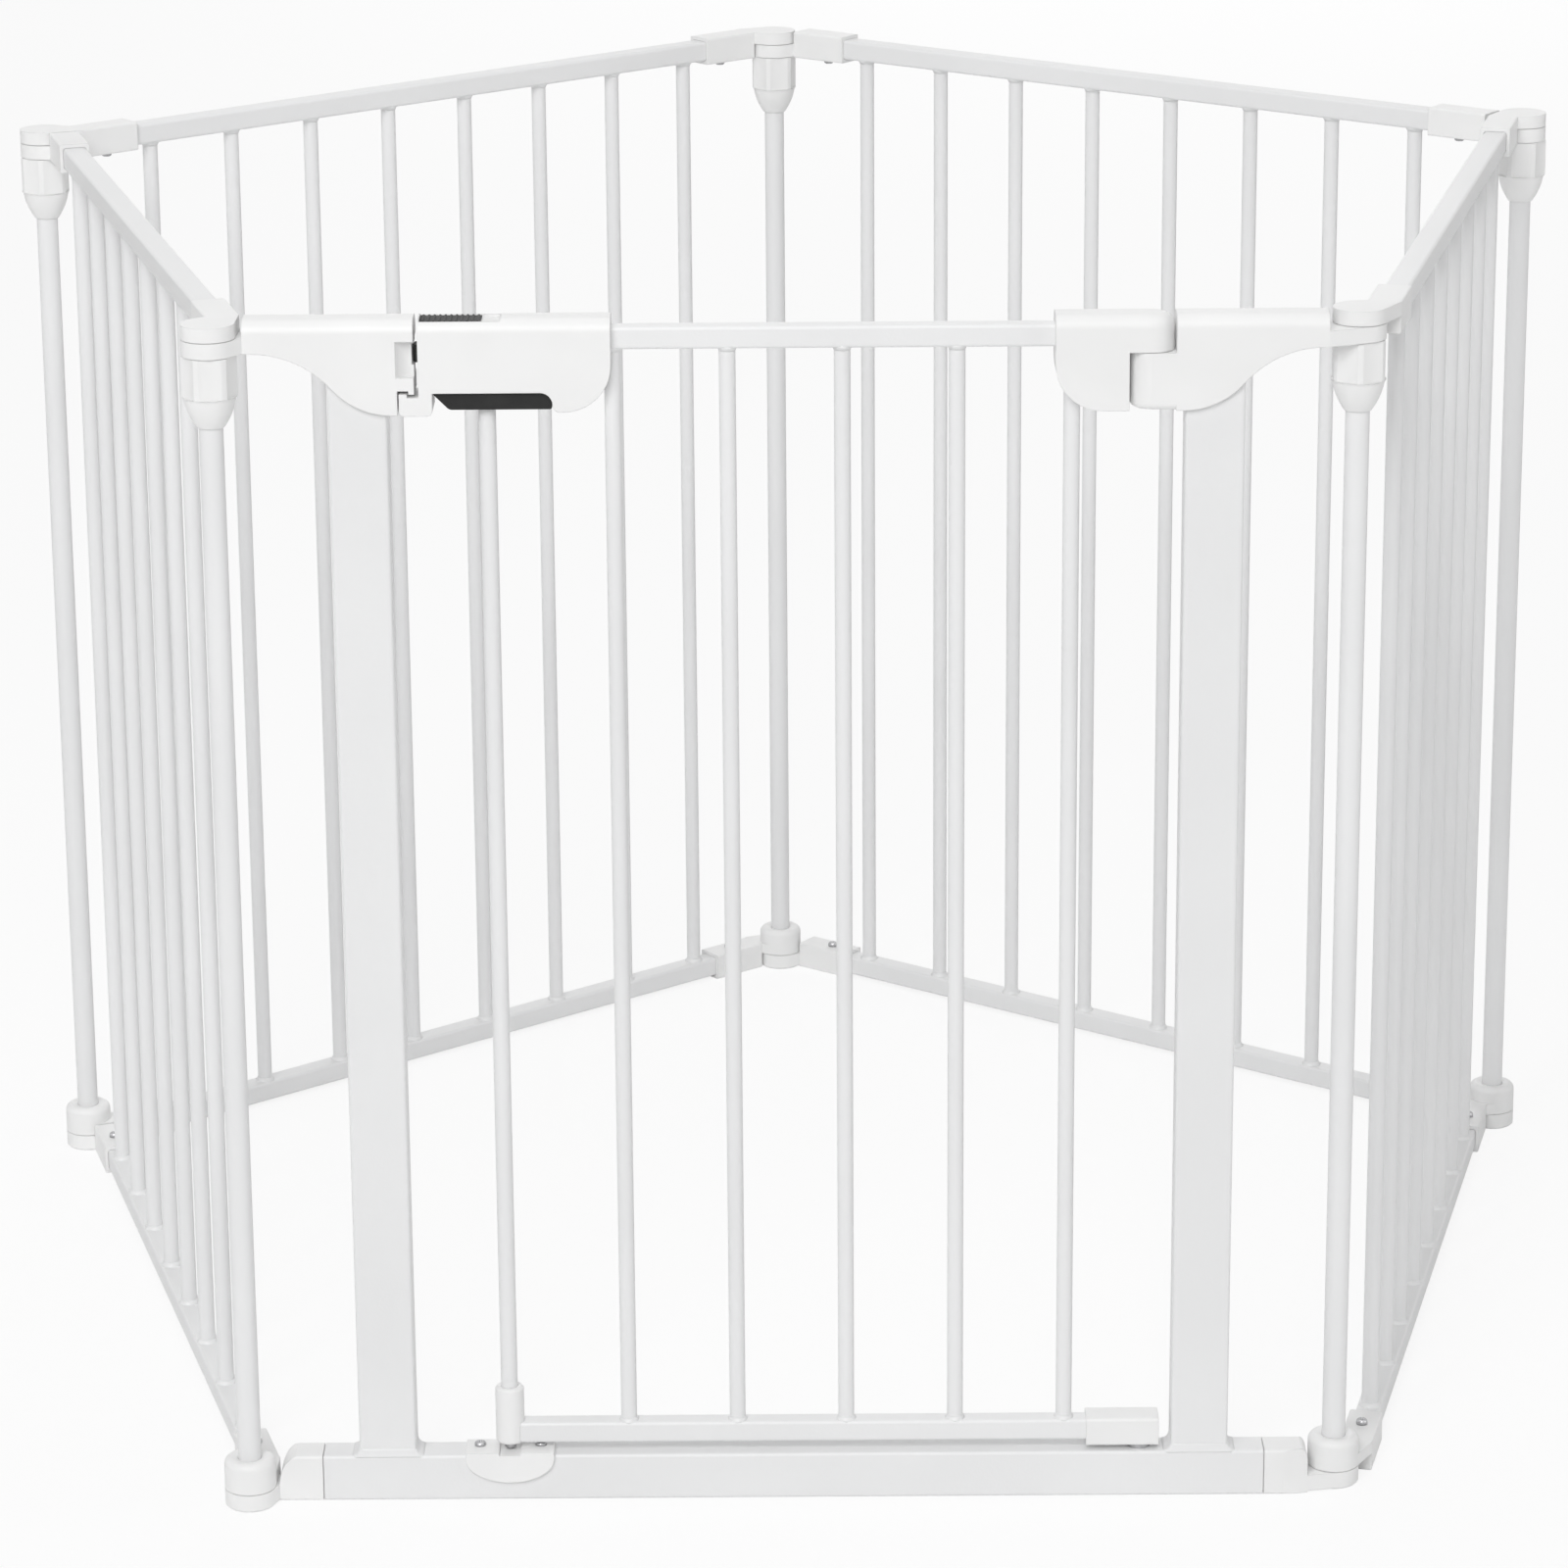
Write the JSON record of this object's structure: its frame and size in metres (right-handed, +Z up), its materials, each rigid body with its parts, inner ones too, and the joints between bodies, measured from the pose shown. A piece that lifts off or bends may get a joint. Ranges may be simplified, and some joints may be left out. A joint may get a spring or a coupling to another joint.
{
  "type": "pet gate",
  "caption": "Freestanding folding pet pen: barred steel panels joined at round corner posts, with a latched walk-through door.",
  "frame": {"origin": "middle of the pen's plan box, on the floor", "axes": "+X along the gate panel towards the door's hinge, +Y from the gate into the pen, +Z up"},
  "size_m": [1.0242, 0.9834, 0.7268],
  "materials": {
    "white_powder_coat": "satin white powder coat over steel tube",
    "white_plastic": "satin white moulded plastic",
    "black_plastic": "matt black moulded plastic",
    "bare_steel": "bright zinc-plated steel"
  },
  "bodies": {
    "gate_frame": {"sill_rail": "white_powder_coat", "sill_end_left": "white_plastic", "sill_end_right": "white_plastic", "latch_upright": "white_powder_coat", "hinge_upright": "white_powder_coat", "latch_bracket": "white_plastic", "hinge_bracket": "white_plastic", "bracket_screws": "bare_steel", "keeper_plate": "white_plastic", "keeper_screws": "bare_steel", "upper_hinge_pin": "bare_steel", "lower_hinge_pin": "bare_steel"},
    "door": {"door_top_rail": "white_powder_coat", "door_bottom_rail": "white_powder_coat", "door_bars": "white_powder_coat", "latch_tube": "white_powder_coat", "latch_tube_foot": "white_plastic", "handle_front": "white_plastic", "handle_rear": "white_plastic", "hinge_cap": "white_plastic", "hinge_shoe": "white_plastic", "door_screws": "bare_steel"},
    "latch_slide": {"slide_button": "black_plastic", "latch_bolt": "black_plastic", "latch_spring": "bare_steel"},
    "lift": {"lift_grip": "black_plastic", "drop_rod": "bare_steel", "drop_spring": "bare_steel"},
    "left_panel": {"left_top_rail": "white_powder_coat", "left_bottom_rail": "white_powder_coat", "left_bars": "white_powder_coat", "left_knuckles": "white_plastic", "left_screws": "bare_steel", "post_front_left": "white_powder_coat"},
    "back_left_panel": {"back_left_top_rail": "white_powder_coat", "back_left_bottom_rail": "white_powder_coat", "back_left_bars": "white_powder_coat", "back_left_knuckles": "white_plastic", "back_left_screws": "bare_steel", "post_left": "white_powder_coat", "post_back": "white_powder_coat"},
    "back_right_panel": {"back_right_top_rail": "white_powder_coat", "back_right_bottom_rail": "white_powder_coat", "back_right_bars": "white_powder_coat", "back_right_knuckles": "white_plastic", "back_right_screws": "bare_steel"},
    "right_panel": {"right_top_rail": "white_powder_coat", "right_bottom_rail": "white_powder_coat", "right_bars": "white_powder_coat", "right_knuckles": "white_plastic", "right_screws": "bare_steel", "post_right": "white_powder_coat", "post_front_right": "white_powder_coat"},
    "lock_nut_front_left": {"nut_front_left": "white_plastic"},
    "lock_nut_left": {"nut_left": "white_plastic"},
    "lock_nut_back": {"nut_back": "white_plastic"},
    "lock_nut_right": {"nut_right": "white_plastic"},
    "lock_nut_front_right": {"nut_front_right": "white_plastic"}
  },
  "joints": [
    {"name": "left_front_fold", "type": "hinge", "parent": "gate_frame", "child": "left_panel", "pos_m": [-0.326, -0.47591, 0], "axis": [0, 0, 1], "range_deg": [0, 73.8]},
    {"name": "left_rear_fold", "type": "hinge", "parent": "left_panel", "child": "back_left_panel", "pos_m": [-0.49618, 0.10987, 0], "axis": [0, 0, 1], "range_deg": [0, 70]},
    {"name": "right_front_fold", "type": "hinge", "parent": "gate_frame", "child": "right_panel", "pos_m": [0.326, -0.45291, 0], "axis": [0, 0, 1], "range_deg": [-74, 0]},
    {"name": "right_rear_fold", "type": "hinge", "parent": "right_panel", "child": "back_right_panel", "pos_m": [0.49618, 0.13287, 0], "axis": [0, 0, 1], "range_deg": [-72.5, 0]},
    {"name": "door_swing", "type": "hinge", "parent": "gate_frame", "child": "door", "pos_m": [0.2075, -0.46441, 0], "axis": [0, 0, 1], "range_deg": [-90, 90]},
    {"name": "latch_slide_travel", "type": "slide", "parent": "door", "child": "latch_slide", "axis": [1, 0, 0], "range_m": [0, 0.008], "stiffness_N_per_m": 400, "springref_m": -0.004, "deforming": ["latch_spring"]},
    {"name": "lift_travel", "type": "slide", "parent": "door", "child": "lift", "axis": [0, 0, 1], "range_m": [0, 0.006], "stiffness_N_per_m": 600, "springref_m": -0.004, "deforming": ["drop_spring"]},
    {"name": "lock_nut_front_left_turn", "type": "hinge", "parent": "left_panel", "child": "lock_nut_front_left", "pos_m": [-0.326, -0.47591, 0], "axis": [0, 0, 1], "range_deg": [0, 90]},
    {"name": "lock_nut_left_turn", "type": "hinge", "parent": "back_left_panel", "child": "lock_nut_left", "pos_m": [-0.49618, 0.10987, 0], "axis": [0, 0, 1], "range_deg": [0, 90]},
    {"name": "lock_nut_back_turn", "type": "hinge", "parent": "back_left_panel", "child": "lock_nut_back", "pos_m": [-0.00822, 0.47591, 0], "axis": [0, 0, 1], "range_deg": [0, 90]},
    {"name": "lock_nut_right_turn", "type": "hinge", "parent": "right_panel", "child": "lock_nut_right", "pos_m": [0.49618, 0.13287, 0], "axis": [0, 0, 1], "range_deg": [0, 90]},
    {"name": "lock_nut_front_right_turn", "type": "hinge", "parent": "right_panel", "child": "lock_nut_front_right", "pos_m": [0.326, -0.45291, 0], "axis": [0, 0, 1], "range_deg": [0, 90]}
  ],
  "couplings": [
    {"joint": "left_rear_fold", "follows": "left_front_fold", "ratio": 0.9394},
    {"joint": "right_front_fold", "follows": "left_front_fold", "ratio": -1},
    {"joint": "right_rear_fold", "follows": "left_front_fold", "ratio": -0.9753}
  ]
}
